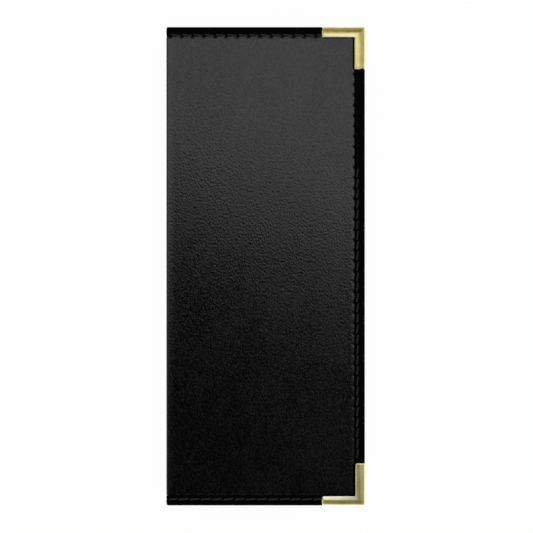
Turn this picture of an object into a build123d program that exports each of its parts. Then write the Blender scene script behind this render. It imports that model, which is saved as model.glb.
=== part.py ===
from build123d import *
import math
import os

# A book-fold menu cover, closed and lying on its back cover. X runs from the spine to the fore-edge,
# Y up the page and Z through the thickness. The origin is below the middle of the cover. Millimetres.

# Outline of the closed cover
cover_width = 121.0
cover_height = 292.1

# Layers of one leaf, from its outer face inwards
brass_thickness = 0.5
brass_proud = 0.3  # how far the corners stand out from the tape
tape_thickness = 0.4
skin_thickness = 0.6
board_thickness = 1.2
lining_thickness = 0.3
film_thickness = 0.2
pocket_gap = 0.4  # room for the sheet between the lining and the film
closing_gap = 0.2  # between the brass of the two closed leaves

# Spine folds
fold_inner_radius = 0.4  # inside of the skin, where it turns from the spine to a leaf
fold_clearance = 0.3  # from a fold to the skin and tape of its leaf
board_setback = 3.4  # from the spine's outer face to the boards
film_setback = 6.0  # from the spine's outer face to the open edge of a pocket

# Tape folded over the edges and sewn through
band_width = 6.1  # its outer lip
inner_band_width = 5.7  # its inner lip
seam_inset = 4.5  # from the edge of the tape to the middle of the seam
groove_width = 2.2
groove_depth = 0.25
film_step_clearance = 0.05  # from the inner lip to the step of the film

# Stitches
stitch_width = 0.9
stitch_proud = 0.1
stitch_gap = 1.0
end_pitch = 6.9  # along the top and the bottom
fore_pitch = 6.35  # along the fore-edge
top_slant = -12.0
bottom_slant = 5.0
fore_slant = 12.0
seam_margin = 0.4  # from the start of a seam to its first stitch

# Brass corners
leg_length = 26.0
leg_width = 6.35
corner_radius = 0.8
rim_radius = 0.5

# Heights of the layers in the back leaf
z_tape = brass_proud
z_skin = z_tape + tape_thickness
z_board = z_skin + skin_thickness
z_lining = z_board + board_thickness
z_film = z_lining + lining_thickness
z_inner_tape = z_film + film_thickness
z_tape_top = z_inner_tape + tape_thickness
z_brass_top = z_tape_top + brass_proud
z_middle = z_brass_top + closing_gap / 2

# Edges of the brass, the tape and the core that it wraps
x_brass = cover_width / 2
y_brass = cover_height / 2
x_tape = x_brass - brass_proud
y_tape = y_brass - brass_proud
x_core = x_tape - tape_thickness
y_core = y_tape - tape_thickness
x_leg_end = x_brass - leg_length
y_leg_end = y_brass - leg_length

# Lines of the spine
fold_radius = fold_inner_radius + skin_thickness
x_spine = -cover_width / 2
x_spine_skin = x_spine + tape_thickness
x_spine_lining = x_spine_skin + skin_thickness
x_spine_inner_tape = x_spine_lining + lining_thickness
x_spine_inside = x_spine_inner_tape + tape_thickness
x_fold = x_spine_skin + fold_radius
z_fold = z_skin + fold_radius
x_leaf = x_fold + fold_clearance
x_board = x_spine + board_setback
x_film = x_spine + film_setback


def slab(x_low, x_high, y_low, y_high, z_low, z_high):
    """A block between six planes."""
    block = Box(x_high - x_low, y_high - y_low, z_high - z_low, align=(Align.MIN, Align.MIN, Align.MIN))
    return Pos(x_low, y_low, z_low) * block


def mirrored(z):
    """The height in the front leaf that matches a height in the back leaf."""
    return 2 * z_middle - z


def turned_over(piece):
    """The same piece in the other leaf."""
    return mirror(piece, about=Plane.XY.offset(z_middle))


def frame_strip(inset_low, inset_high, x_start, z_low, z_high):
    """A strip along the top, fore-edge and bottom, between two insets from the edge of the tape."""
    outer = slab(x_start, x_tape - inset_low, inset_low - y_tape, y_tape - inset_low, z_low, z_high)
    inner = slab(x_start, x_tape - inset_high, inset_high - y_tape, y_tape - inset_high, z_low, z_high)
    return outer - inner


# The covered panel


def leaf_skin():
    return slab(x_leaf, x_core, -y_core, y_core, z_skin, z_board)


def leaf_board():
    return slab(x_board, x_core, -y_core, y_core, z_board, z_lining)


def leaf_lining():
    return slab(x_board, x_core, -y_core, y_core, z_lining, z_film)


def pocket_field(inset, x_start, z_low, z_high):
    """A block as large as the raised field of a pocket, with its three closed sides moved in by inset."""
    side = inner_band_width + film_step_clearance + inset
    return slab(x_start, x_tape - side, side - y_tape, y_tape - side, z_low, z_high)


def leaf_pocket_film():
    """The clear face of a pocket, open towards the spine."""
    z_room = z_film + pocket_gap
    return pocket_field(0, x_film, z_room, z_room + film_thickness)


def leaf_pocket_margin():
    """The margin of the film, held by the seam on three sides, and its step up to the clear face."""
    margin = slab(x_film, x_core, -y_core, y_core, z_film, z_inner_tape)
    step = pocket_field(0, x_film, z_film, z_film + pocket_gap)
    return margin + step - pocket_field(film_thickness, x_film, z_film, z_film + pocket_gap)


# The edge tape


def seam_grooves(x_start, z_low, z_high):
    """The sewn channels of one face, between the brass corners."""
    low = seam_inset - groove_width / 2
    high = seam_inset + groove_width / 2
    channel = frame_strip(low, high, x_start, z_low, z_high)
    corner_room = slab(x_leg_end, x_brass, y_leg_end, y_brass, z_low, z_high)
    return channel - corner_room - mirror(corner_room, about=Plane.XZ)


def leaf_tape():
    """The tape round all three edges of a leaf, before it is mitred into strips."""
    outer_lip = frame_strip(0, band_width, x_leaf, z_tape, z_skin)
    fold_over = frame_strip(0, tape_thickness, x_board, z_tape, z_tape_top)
    fold_start = frame_strip(0, tape_thickness, x_leaf, z_tape, z_board)
    inner_lip = frame_strip(0, inner_band_width, x_film, z_inner_tape, z_tape_top)
    lip_start = frame_strip(0, inner_band_width, x_board, z_film, z_tape_top)
    lip_start -= slab(x_film, x_tape, -y_tape, y_tape, z_film, z_tape_top)
    tape = outer_lip + fold_over + fold_start + inner_lip + lip_start
    tape -= seam_grooves(x_leaf, z_tape, z_tape + groove_depth)
    tape -= seam_grooves(x_board, z_tape_top - groove_depth, z_tape_top)
    return tape


def mitre_prism():
    """The room of the fore-edge strip, with its ends cut on the diagonals."""
    depth = band_width + tape_thickness
    ends = [
        (x_tape, y_tape),
        (x_tape - depth, y_tape - depth),
        (x_tape - depth, depth - y_tape),
        (x_tape, -y_tape),
    ]
    return extrude(make_face(Polyline(*ends, close=True)), z_brass_top)


def leaf_binding_strips():
    """The top, fore-edge and bottom strips, mitred under the brass and pressed in by it."""
    tape = leaf_tape()
    for side in (1, -1):
        tape -= corner_block(side) - corner_room(side)
    prism = mitre_prism()
    ends = tape - prism
    top = ends & slab(x_leaf, x_tape, 0, y_tape, 0, z_brass_top)
    bottom = ends & slab(x_leaf, x_tape, -y_tape, 0, 0, z_brass_top)
    return top, tape & prism, bottom


# The brass corners


def corner_block(side):
    """The outer shape of an L-shaped corner, before its edges are rounded.

    Its inner face ends with the inner lip of the tape.
    """
    along = slab(x_leg_end, x_brass, y_brass - leg_width, y_brass, 0, z_brass_top)
    down = slab(x_brass - leg_width, x_brass, y_leg_end, y_brass, 0, z_brass_top)
    x_lip = x_tape - inner_band_width
    y_lip = y_tape - inner_band_width
    z_flange = z_brass_top - brass_thickness
    block = along + down - slab(x_leg_end, x_lip, y_leg_end, y_lip, z_flange, z_brass_top)
    return block if side > 0 else mirror(block, about=Plane.XZ)


def corner_room(side):
    """The room inside a corner, which grips the tape."""
    x_low = x_leg_end - leg_width
    y_low = y_leg_end - leg_width
    x_high = x_brass - brass_thickness
    y_high = y_brass - brass_thickness
    room = slab(x_low, x_high, y_low, y_high, brass_thickness, z_brass_top - brass_thickness)
    return room if side > 0 else mirror(room, about=Plane.XZ)


def corner_piece(side):
    """A stamped L-shaped channel: two faces joined round the outside of the leaf's corner."""
    block = corner_block(1)
    upright = block.edges().filter_by(Axis.Z).sort_by(lambda edge: edge.center().X + edge.center().Y)[-1]
    block = fillet(upright, corner_radius)
    rim = []
    for edge in block.edges():
        flat = abs(edge.center().Z) < brass_thickness or abs(edge.center().Z - z_brass_top) < brass_thickness
        middle = edge.center()
        outside = middle.X > x_brass - corner_radius or middle.Y > y_brass - corner_radius
        whole = edge.length > leg_width or edge.geom_type == GeomType.CIRCLE
        if flat and outside and whole:
            rim.append(edge)
    block = fillet(rim, rim_radius)
    if side < 0:
        block = mirror(block, about=Plane.XZ)
    return block - corner_room(side)


# The stitches


def stitch(length, slant, x, y, z_low, z_high):
    """One thread lying on the bottom of the groove, seen as a rounded bar."""
    bar = extrude(SlotOverall(length, stitch_width), z_high - z_low)
    return Pos(x, y, z_low) * Rot(0, 0, slant) * bar


def leaf_stitches(x_start, z_low, z_high):
    """The stitches of one face, along the top, the fore-edge and the bottom."""
    stitches = []
    first = x_start + seam_margin
    count = int((x_leg_end - first) / end_pitch)
    y_seam = y_tape - seam_inset
    for i in range(count):
        x = first + (i + 0.5) * end_pitch
        stitches.append(stitch(end_pitch - stitch_gap, top_slant, x, y_seam, z_low, z_high))
        stitches.append(stitch(end_pitch - stitch_gap, bottom_slant, x, -y_seam, z_low, z_high))
    x_seam = x_tape - seam_inset
    count = int((2 * y_leg_end - 2 * seam_margin) / fore_pitch)
    for i in range(count):
        y = (i - (count - 1) / 2) * fore_pitch
        slant = 90.0 + fore_slant
        stitches.append(stitch(fore_pitch - stitch_gap, slant, x_seam, y, z_low, z_high))
    return Compound(stitches)


# The spine


def wrap(outset, y_low, y_high):
    """All that lies inside the spine skin's outer line, with that line moved out by outset."""
    x_low = x_spine_skin - outset
    z_low = z_skin - outset
    radius = fold_radius + outset
    block = slab(x_low, x_fold + radius, y_low, y_high, z_low, mirrored(z_low))
    folds = block.edges().filter_by(Axis.Y).group_by(Axis.X)[0]
    block = fillet(folds, radius)
    return block & slab(x_low, x_fold, y_low, y_high, z_low, mirrored(z_low))


def spine_skin():
    return wrap(0, -y_core, y_core) - wrap(-skin_thickness, -y_core, y_core)


def spine_strip(x_low, x_high, y_low, y_high):
    """A flat strip inside the spine, between its two folds."""
    return slab(x_low, x_high, y_low, y_high, z_fold, mirrored(z_fold))


def spine_lining():
    return spine_strip(x_spine_lining, x_spine_inner_tape, -y_core, y_core)


def spine_binding():
    """The tape over the top end of the spine, sewn like that of the leaves."""
    y_lip = y_tape - band_width
    outer_lip = wrap(tape_thickness, y_lip, y_tape) - wrap(0, y_lip, y_tape)
    inner_lip = spine_strip(x_spine_inner_tape, x_spine_inside, y_tape - inner_band_width, y_tape)
    fold_over = wrap(tape_thickness, y_core, y_tape) - wrap(-skin_thickness, y_core, y_tape)
    fold_over += spine_strip(x_spine_lining, x_spine_inside, y_core, y_tape)
    y_low = y_tape - seam_inset - groove_width / 2
    y_high = y_tape - seam_inset + groove_width / 2
    groove = wrap(tape_thickness, y_low, y_high) - wrap(tape_thickness - groove_depth, y_low, y_high)
    inner_groove = spine_strip(x_spine_inside - groove_depth, x_spine_inside, y_low, y_high)
    return outer_lip + inner_lip + fold_over - groove - inner_groove


def spine_stitches():
    """One stitch on each face of the spine, at its top and at its bottom."""
    length = mirrored(z_fold) - z_fold - stitch_gap
    bar = extrude(SlotOverall(length, stitch_width), groove_depth)
    upright = Rot(0, 90, 0) * bar
    stitches = []
    for y in (y_tape - seam_inset, seam_inset - y_tape):
        stitches.append(Pos(x_spine, y, z_middle) * upright)
        stitches.append(Pos(x_spine_inside - groove_depth, y, z_middle) * upright)
    return Compound(stitches)


# Both leaves and the spine, each piece under its own name

top_strip, fore_edge_strip, bottom_strip = leaf_binding_strips()
leaf_pieces = {
    "skin": leaf_skin(),
    "board": leaf_board(),
    "lining": leaf_lining(),
    "pocket_film": leaf_pocket_film(),
    "pocket_margin": leaf_pocket_margin(),
    "binding_top": top_strip,
    "binding_fore_edge": fore_edge_strip,
    "binding_bottom": bottom_strip,
    "stitching_outer": leaf_stitches(x_leaf, z_tape - stitch_proud, z_tape + groove_depth),
    "stitching_inner": leaf_stitches(x_board, z_tape_top - groove_depth, z_tape_top + stitch_proud),
    "corner_top": corner_piece(1),
    "corner_bottom": corner_piece(-1),
}
pieces = {}
for name, piece in leaf_pieces.items():
    pieces["back_" + name] = piece
    pieces["front_" + name] = turned_over(piece)
pieces["spine_skin"] = spine_skin()
pieces["spine_lining"] = spine_lining()
pieces["spine_binding_top"] = spine_binding()
pieces["spine_binding_bottom"] = mirror(spine_binding(), about=Plane.XZ)
pieces["spine_stitching"] = spine_stitches()

os.makedirs("parts", exist_ok=True)
for name, piece in pieces.items():
    export_step(piece, "parts/" + name + ".step")

# The line that each leaf turns about: there the skin of an opened fold lies flat at its own length
fold_offset = fold_radius * math.pi / 4
x_hinge = x_fold - fold_offset
z_hinge = z_fold - fold_offset
print("fold lines: x %.4f, z %.4f and %.4f" % (x_hinge, z_hinge, mirrored(z_hinge)))
print("closed cover: %.2f x %.2f x %.2f" % (cover_width, cover_height, mirrored(0)))
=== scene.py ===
import logging
import math
from contextlib import contextmanager
from dataclasses import dataclass
from enum import Enum
from functools import cached_property
from typing import Callable, Iterator

import bmesh
import bpy
from bpy.types import Material, Node, NodeSocket, Object, ShaderNodeTree, bpy_prop_collection
from mathutils import Euler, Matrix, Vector, noise


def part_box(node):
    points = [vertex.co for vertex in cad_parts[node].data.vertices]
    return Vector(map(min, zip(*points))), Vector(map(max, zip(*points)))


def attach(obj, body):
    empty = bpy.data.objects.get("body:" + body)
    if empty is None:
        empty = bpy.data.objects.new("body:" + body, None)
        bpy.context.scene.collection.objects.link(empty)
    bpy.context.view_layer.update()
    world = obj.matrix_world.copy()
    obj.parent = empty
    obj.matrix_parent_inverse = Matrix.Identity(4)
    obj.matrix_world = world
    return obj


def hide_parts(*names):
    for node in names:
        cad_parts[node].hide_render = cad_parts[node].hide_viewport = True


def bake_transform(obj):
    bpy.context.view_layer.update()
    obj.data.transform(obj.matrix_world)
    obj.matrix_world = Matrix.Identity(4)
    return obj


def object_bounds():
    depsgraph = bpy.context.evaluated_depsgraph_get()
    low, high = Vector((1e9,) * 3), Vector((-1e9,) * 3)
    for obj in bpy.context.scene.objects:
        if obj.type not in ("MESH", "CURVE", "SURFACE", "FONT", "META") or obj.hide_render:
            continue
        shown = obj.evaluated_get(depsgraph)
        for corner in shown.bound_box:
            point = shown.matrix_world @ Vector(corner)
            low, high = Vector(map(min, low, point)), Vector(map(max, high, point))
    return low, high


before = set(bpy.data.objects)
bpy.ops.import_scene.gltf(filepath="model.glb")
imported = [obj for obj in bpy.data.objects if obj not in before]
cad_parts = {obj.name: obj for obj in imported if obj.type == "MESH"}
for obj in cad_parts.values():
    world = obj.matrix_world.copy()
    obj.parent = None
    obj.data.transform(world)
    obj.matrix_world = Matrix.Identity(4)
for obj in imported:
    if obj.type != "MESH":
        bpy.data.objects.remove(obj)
CAD_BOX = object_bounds()

Pair = tuple[float, float]
Triple = tuple[float, float, float]

MM = 0.001
NEAR = 0.01 * MM
BRASS_SWELL = 0.35 * MM
NO_BRASS = -1.0
# The point attribute that carries the brass's painted reflection: painted highlights at its edges and a
# painted dark band across its face.
PAINTED_REFLECTION = "painted_reflection"
DOWN = Vector((0, 0, -1))
UP = Vector((0, 0, 1))
LOG = logging.getLogger("menu_cover")


class Edge(Enum):
    """The three bound edges of a leaf."""

    TOP = "top"
    FORE = "fore_edge"
    BOTTOM = "bottom"

    @property
    def sign(self) -> float:
        """The side of the cover's middle that an end edge lies on."""
        return -1.0 if self is Edge.BOTTOM else 1.0


class Leaf(Enum):
    """The two leaves, by the names of their bodies."""

    BACK = "back"
    FRONT = "front"


def low_of(node: str) -> Vector:
    """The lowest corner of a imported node."""
    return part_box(node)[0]


def high_of(node: str) -> Vector:
    """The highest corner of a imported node."""
    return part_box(node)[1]


@dataclass(frozen=True)
class Layout:
    """Heights of the back leaf's layers and the lines that its pieces end on, all from the frame.

    The front leaf is the same leaf turned over about z_middle.
    """

    z_tape: float = low_of("back_binding_top").z
    z_skin: float = low_of("back_skin").z
    z_board: float = low_of("back_board").z
    z_film: float = high_of("back_lining").z
    z_pocket: float = high_of("back_pocket_film").z
    z_tape_top: float = high_of("back_binding_top").z
    z_brass_top: float = high_of("back_corner_top").z
    z_middle: float = (low_of("spine_skin").z + high_of("spine_skin").z) / 2
    z_fold: float = low_of("spine_lining").z
    x_brass: float = high_of("back_corner_top").x + BRASS_SWELL
    y_brass: float = high_of("back_corner_top").y + BRASS_SWELL
    x_leg_end: float = low_of("back_corner_top").x
    y_leg_end: float = low_of("back_corner_top").y + BRASS_SWELL
    x_tape: float = high_of("back_binding_fore_edge").x
    y_tape: float = high_of("back_binding_top").y
    x_core: float = high_of("back_board").x
    y_core: float = high_of("back_board").y
    x_board: float = low_of("back_board").x
    x_film: float = low_of("back_pocket_film").x
    x_fold: float = high_of("spine_skin").x
    x_spine_skin: float = low_of("spine_skin").x
    x_spine_tape: float = low_of("spine_binding_top").x
    x_spine_inside: float = high_of("spine_binding_top").x


LAY = Layout()


def near(first: float, second: float) -> bool:
    """Says whether two measures are the same, apart from rounding."""
    return abs(first - second) < NEAR


def ease(value: float) -> float:
    """A smooth step from 0 to 1."""
    value = min(max(value, 0.0), 1.0)
    return value * value * (3.0 - 2.0 * value)


def hump(distance: float, width: float) -> float:
    """A soft bump that is 1 at its middle and fades over a width."""
    return math.exp(-((distance / width) ** 2))


def round_spine(x: float, face: float) -> float:
    """How far round the spine an X is, from 0 at the fold to 1 at the spine's face."""
    return ease((LAY.x_fold - x) / (LAY.x_fold - face))


def clear_selection() -> None:
    """Deselects every object."""
    bpy.ops.object.select_all(action="DESELECT")


def only(piece: Object) -> None:
    """Makes one piece the selected and active one.

    Args:
        piece: The piece.
    """
    clear_selection()
    piece.select_set(True)
    bpy.context.view_layer.objects.active = piece


def apply_place(piece: Object) -> None:
    """Moves a piece's place, turn and size into its mesh."""
    only(piece)
    bpy.ops.object.transform_apply(location=True, rotation=True, scale=True)


def add_sheet(name: str, low: Pair, high: Pair, z: float) -> Object:
    """Adds a level sheet.

    Args:
        name: The piece's name.
        low: Its lowest X and Y.
        high: Its highest X and Y.
        z: Its height.

    Returns:
        The sheet, with its place in its mesh.
    """
    clear_selection()
    middle = ((low[0] + high[0]) / 2, (low[1] + high[1]) / 2, z)
    bpy.ops.mesh.primitive_plane_add(size=1.0, location=middle)
    sheet = bpy.context.active_object
    sheet.name = name
    sheet.scale = (high[0] - low[0], high[1] - low[1], 1.0)
    apply_place(sheet)
    return sheet


def select_mode(kind: str, action: str = "DESELECT") -> None:
    """Sets what edit mode selects, and selects all of the mesh or nothing."""
    bpy.ops.mesh.select_mode(type=kind)
    bpy.ops.mesh.select_all(action=action)


@contextmanager
def editing(piece: Object, action: str = "DESELECT") -> Iterator[None]:
    """Opens one piece in edit mode and leaves it again.

    Args:
        piece: The piece.
        action: SELECT to start with all of it selected, rather than nothing.

    Yields:
        Nothing.
    """
    only(piece)
    bpy.ops.object.mode_set(mode="EDIT")
    select_mode("VERT", action)
    try:
        yield
    finally:
        bpy.ops.object.mode_set(mode="OBJECT")


def pick_points(piece: Object, test: Callable[[Vector], bool]) -> None:
    """Selects points in edit mode, with the edges and faces between them.

    Args:
        piece: The piece.
        test: Says by its place whether a point is taken.
    """
    select_mode("VERT")
    shape = bmesh.from_edit_mesh(piece.data)
    for point in shape.verts:
        if test(point.co):
            point.select = True
    shape.select_flush(True)
    bmesh.update_edit_mesh(piece.data)


def pick_edges(piece: Object, test: Callable[[Vector, Vector], bool]) -> None:
    """Selects edges in edit mode.

    Args:
        piece: The piece.
        test: Says by its middle and its span whether an edge is taken.
    """
    select_mode("EDGE")
    shape = bmesh.from_edit_mesh(piece.data)
    for edge in shape.edges:
        first, second = edge.verts[0].co, edge.verts[1].co
        if test((first + second) / 2, second - first):
            edge.select = True
    shape.select_flush_mode()
    bmesh.update_edit_mesh(piece.data)


def cut(place: Triple, normal: Triple) -> None:
    """Cuts a line across the whole piece in edit mode."""
    bpy.ops.mesh.select_all(action="SELECT")
    bpy.ops.mesh.bisect(plane_co=place, plane_no=normal)


def cut_x(x: float) -> None:
    """Cuts a line at an X."""
    cut((x, 0, 0), (1, 0, 0))


def cut_y(y: float) -> None:
    """Cuts a line at a Y."""
    cut((0, y, 0), (0, 1, 0))


def extrude(x: float = 0.0, y: float = 0.0, z: float = 0.0) -> None:
    """Extrudes what is selected by an offset."""
    bpy.ops.mesh.extrude_region_move(TRANSFORM_OT_translate={"value": (x, y, z)})


def rescale(x: float, y: float, z: float, centre: Triple) -> None:
    """Scales what is selected about a centre."""
    bpy.ops.transform.resize(value=(x, y, z), center_override=centre)


def finish_modifier(piece: Object, kind: str, **values: object) -> None:
    """Adds one modifier to a piece and applies it.

    Args:
        piece: The piece.
        kind: The modifier's type.
        values: Its settings.
    """
    only(piece)
    modifier = piece.modifiers.new(kind.title(), kind)
    for name, value in values.items():
        setattr(modifier, name, value)
    bpy.ops.object.modifier_apply(modifier=modifier.name)


def thicken(piece: Object, thickness: float, even: bool = True) -> None:
    """Thickens a sheet inwards, in full at sharp corners too if even, which tight folds can't be."""
    finish_modifier(piece, "SOLIDIFY", thickness=thickness, offset=-1.0, use_even_offset=even)


def face_towards(piece: Object, direction: Vector) -> None:
    """Makes the faces of an open sheet agree, with its largest one towards a direction.

    Args:
        piece: The sheet.
        direction: Where its outer face looks.
    """
    with editing(piece, "SELECT"):
        bpy.ops.mesh.remove_doubles(threshold=NEAR / 2)
        bpy.ops.mesh.select_all(action="SELECT")
        bpy.ops.mesh.normals_make_consistent(inside=False)
    largest = max(piece.data.polygons, key=lambda face: face.area)
    if largest.normal.dot(direction) < 0:
        with editing(piece, "SELECT"):
            bpy.ops.mesh.flip_normals()


def reshape(piece: Object, move: Callable[[Vector, Vector], None]) -> None:
    """Moves every point of a piece.

    Args:
        piece: The piece, in object mode.
        move: Changes a place, by a point's place and its normal.
    """
    before = [(point.co.copy(), point.normal.copy()) for point in piece.data.vertices]
    for point, (place, normal) in zip(piece.data.vertices, before):
        move(place, normal)
        point.co = place
    piece.data.update()


def smooth(piece: Object, degrees: float) -> None:
    """Shades a piece smooth, apart from edges sharper than an angle."""
    only(piece)
    bpy.ops.object.shade_smooth_by_angle(angle=math.radians(degrees))


def copied(piece: Object, name: str) -> Object:
    """Copies a piece with a mesh of its own.

    Args:
        piece: The piece.
        name: The copy's name.

    Returns:
        The copy.
    """
    twin = piece.copy()
    twin.data = piece.data.copy()
    twin.name = name
    bpy.context.scene.collection.objects.link(twin)
    return twin


def mirrored(piece: Object, name: str, axis: int, level: float) -> Object:
    """Copies a piece to the other side of a plane.

    Args:
        piece: The piece.
        name: The copy's name.
        axis: The axis that the plane is square to.
        level: Where the plane lies on it.

    Returns:
        The copy, with its faces outwards.
    """
    twin = copied(piece, name)
    factor, centre = Vector((1, 1, 1)), Vector()
    factor[axis], centre[axis] = -1, level
    with editing(twin, "SELECT"):
        rescale(*factor, centre)
        bpy.ops.mesh.flip_normals()
    return twin


def to_bottom(piece: Object, name: str) -> Object:
    """Moves a piece of the top edge to the bottom edge.

    Args:
        piece: The piece, which is replaced.
        name: The new piece's name.

    Returns:
        The piece at the bottom edge.
    """
    twin = mirrored(piece, name + "_flipped", 1, 0.0)
    bpy.data.objects.remove(piece)
    twin.name = name
    return twin


def joined(name: str, pieces: list[Object]) -> Object:
    """Joins several objects into one.

    Args:
        name: The name of the result.
        pieces: What is joined.

    Returns:
        The one object, with its place in its mesh.
    """
    whole = pieces[0]
    only(whole)
    for piece in pieces[1:]:
        piece.select_set(True)
    bpy.ops.object.join()
    whole.name = name
    apply_place(whole)
    return whole


def wrap_spine(piece: Object, steps: int = 6) -> None:
    """Carries a sheet's end round the fold and up the spine to its middle, in edit mode.

    Args:
        piece: The sheet, whose end lies at the fold line.
        steps: How many faces the fold has.
    """
    centre = (LAY.x_fold, 0, LAY.z_fold)
    pick_points(piece, lambda place: near(place.x, LAY.x_fold))
    bpy.ops.mesh.spin(steps=steps, angle=-math.pi / 2, center=centre, axis=(0, 1, 0))
    extrude(z=LAY.z_middle - LAY.z_fold)


class Graph:
    """Writes the nodes of a material, a world or a node group."""

    def __init__(self, tree: ShaderNodeTree) -> None:
        """Keeps the tree that the nodes go into."""
        self.tree = tree

    def feed(self, socket: NodeSocket, value: object) -> None:
        """Links an input to its source, or sets its constant.

        Args:
            socket: The input.
            value: An output of another node, or a constant.
        """
        if isinstance(value, NodeSocket):
            self.tree.links.new(value, socket)
        else:
            socket.default_value = value

    def put(self, node: Node, **values: object) -> Node:
        """Gives a node its settings, and its inputs their sources or constants.

        Args:
            node: The node.
            values: What each setting or input gets, by its name with _ for a space.

        Returns:
            The node.
        """
        for name, value in values.items():
            if hasattr(node, name):
                setattr(node, name, value)
            else:
                self.feed(node.inputs[name.replace("_", " ")], value)
        return node

    def node(self, kind: str, **values: object) -> Node:
        """Adds a node by its type without the leading ShaderNode, and gives it its values."""
        return self.put(self.tree.nodes.new("ShaderNode" + kind), **values)

    def math(self, operation: str, *values: NodeSocket | float) -> NodeSocket:
        """Adds a Math node.

        Args:
            operation: What it does.
            values: Its inputs.

        Returns:
            Its output.
        """
        node = self.node("Math", operation=operation)
        for socket, value in zip(node.inputs, values):
            self.feed(socket, value)
        return node.outputs[0]

    def times(self, first: NodeSocket, second: NodeSocket | float) -> NodeSocket:
        """Multiplies two values."""
        return self.math("MULTIPLY", first, second)

    def plus(self, first: NodeSocket, second: NodeSocket) -> NodeSocket:
        """Adds two values."""
        return self.math("ADD", first, second)

    def spread(self, value: NodeSocket, low: float, high: float, span: Pair = (0.0, 1.0)) -> NodeSocket:
        """Maps a span of a value to the range from low to high."""
        node = self.node("MapRange", Value=value, From_Min=span[0], From_Max=span[1], To_Min=low, To_Max=high)
        return node.outputs["Result"]

    def mix(self, share: NodeSocket, first: Triple, second: Triple) -> NodeSocket:
        """Mixes two colours.

        Args:
            share: How much of the second shows.
            first: A colour.
            second: Another colour.

        Returns:
            The mixed colour.
        """
        node = self.node("Mix", data_type="RGBA")
        for index, value in ((0, share), (6, (*first, 1.0)), (7, (*second, 1.0))):
            self.feed(node.inputs[index], value)
        return node.outputs[2]


class Group(Graph):
    """A node group that takes coordinates and values, and gives values only."""

    def __init__(self, name: str, takes: tuple[str, ...], gives: tuple[str, ...]) -> None:
        """Starts the group.

        Args:
            name: The group's name.
            takes: Its inputs beside the Vector.
            gives: Its outputs.
        """
        super().__init__(bpy.data.node_groups.new(name, "ShaderNodeTree"))
        sockets = [("Vector", "INPUT", "NodeSocketVector")]
        sockets += [(label, "INPUT", "NodeSocketFloat") for label in takes]
        sockets += [(label, "OUTPUT", "NodeSocketFloat") for label in gives]
        for label, way, kind in sockets:
            self.tree.interface.new_socket(label, in_out=way, socket_type=kind)
        self.given = self.tree.nodes.new("NodeGroupInput").outputs
        self.made = self.tree.nodes.new("NodeGroupOutput")

    def texture(self, kind: str, finer: float, **values: object) -> Node:
        """Adds a texture on the group's coordinates.

        Args:
            kind: Its type, without the leading ShaderNodeTex.
            finer: Its scale as a share of the group's.
            values: Its settings and other inputs.

        Returns:
            The texture's node.
        """
        scale = self.times(self.given["Scale"], finer)
        return self.node("Tex" + kind, **values, Vector=self.given["Vector"], Scale=scale)


def build_calf_grain() -> Group:
    """Builds the pebbled grain of leatherette: pebbles, the creases between them and fine pores.

    Returns:
        The group, with a Height, a Crease mask and a Gloss of each pebble.
    """
    group = Group("calf_grain", ("Scale", "Pores"), ("Height", "Crease", "Gloss"))
    pebbles = group.texture("Noise", 1.0, Detail=0.0)
    cells = group.texture("Voronoi", 1.6, feature="DISTANCE_TO_EDGE")
    tops = group.texture("Voronoi", 1.6, feature="F1")
    pores = group.texture("Noise", 4.0, Detail=2.0)
    crease = group.spread(cells.outputs["Distance"], 1.0, 0.0, (0.0, 0.16))
    height = group.math("SUBTRACT", pebbles.outputs["Fac"], group.times(crease, 0.04))
    height = group.plus(height, group.times(pores.outputs["Fac"], group.given["Pores"]))
    parts = group.node("SeparateColor", Color=tops.outputs["Color"])
    group.put(group.made, Height=height, Crease=crease, Gloss=parts.outputs[1])
    return group


def build_weave() -> Group:
    """Builds a plain weave of threads over and under each other.

    Returns:
        The group, with a Height.
    """
    group = Group("weave", ("Threads",), ("Height",))
    parts = group.node("SeparateXYZ", Vector=group.given["Vector"])
    waves = []
    for axis in (0, 1):
        turns = group.times(parts.outputs[axis], group.given["Threads"])
        waves.append(group.math("SINE", group.times(turns, 2 * math.pi)))
    group.put(group.made, Height=group.spread(group.times(*waves), 0.0, 1.0, (-1.0, 1.0)))
    return group


def build_wear() -> Group:
    """Builds the uneven handling marks that make a surface duller in places.

    Returns:
        The group, with a Mask between 0 and 1.
    """
    group = Group("handling", ("Scale", "Detail"), ("Mask",))
    inputs = {label: group.given[label] for label in ("Vector", "Scale", "Detail")}
    clouds = group.node("TexNoise", Roughness=0.6, **inputs)
    group.put(group.made, Mask=group.spread(clouds.outputs["Fac"], 0.0, 1.0, (0.3, 0.7)))
    return group


GRAIN = build_calf_grain()
WEAVE = build_weave()
WEAR = build_wear()


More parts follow.
